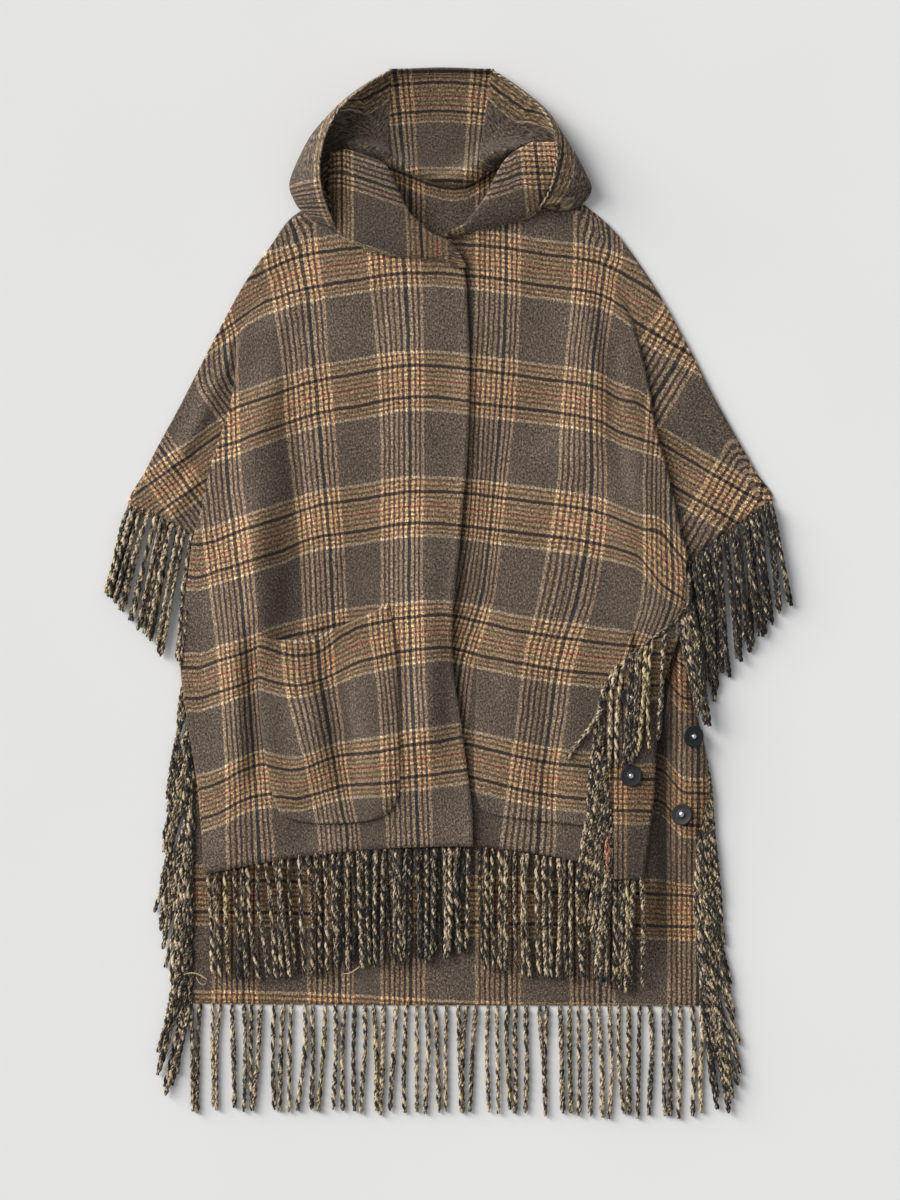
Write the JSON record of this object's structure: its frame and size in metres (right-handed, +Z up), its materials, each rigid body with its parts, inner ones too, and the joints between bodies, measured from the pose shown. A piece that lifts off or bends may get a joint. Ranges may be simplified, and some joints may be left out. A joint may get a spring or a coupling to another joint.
{
  "type": "hooded fringed cape laid flat",
  "caption": "Hooded wool blanket cape laid flat on its back, with sleeve wings, patch pockets, a lapped centre front, open side snaps and twisted fringe.",
  "frame": {"origin": "middle of the garment's outline on the surface that it lies on", "axes": "+Y runs from the hem up to the hood, +X to the right seen from above, +Z up from the surface"},
  "size_m": [0.7866, 1.2058, 0.0508],
  "materials": {
    "wool_check": "brushed double-faced wool, brown and grey check",
    "fringe_yarn": "twisted two-ply wool strands, charcoal and beige",
    "snap_cover": "matte blue-black",
    "snap_metal": "polished"
  },
  "bodies": {
    "root": {"back": "wool_check", "front_left": "wool_check", "front_right": "wool_check", "side_strip_turned": "wool_check", "pocket_left": "wool_check", "pocket_right": "wool_check", "hood_side_left": "wool_check", "hood_gusset": "wool_check", "hood_side_right": "wool_check", "lapel_left": "wool_check", "lapel_right": "wool_check", "fringe_back_hem": "fringe_yarn", "fringe_front_left_hem": "fringe_yarn", "fringe_front_right_hem": "fringe_yarn", "fringe_strip_hem": "fringe_yarn", "fringe_strip_edge": "fringe_yarn", "fringe_side_left": "fringe_yarn", "fringe_side_right": "fringe_yarn", "fringe_cuff_left_back": "fringe_yarn", "fringe_cuff_left_front": "fringe_yarn", "fringe_cuff_right_back": "fringe_yarn", "fringe_cuff_right_front": "fringe_yarn", "snap_disc_1": "snap_cover", "snap_disc_2": "snap_cover", "snap_disc_3": "snap_cover", "snap_disc_4": "snap_cover", "snap_stud_1": "snap_metal", "snap_stud_2": "snap_metal", "snap_stud_3": "snap_metal", "snap_stud_4": "snap_metal"}
  },
  "joints": []
}
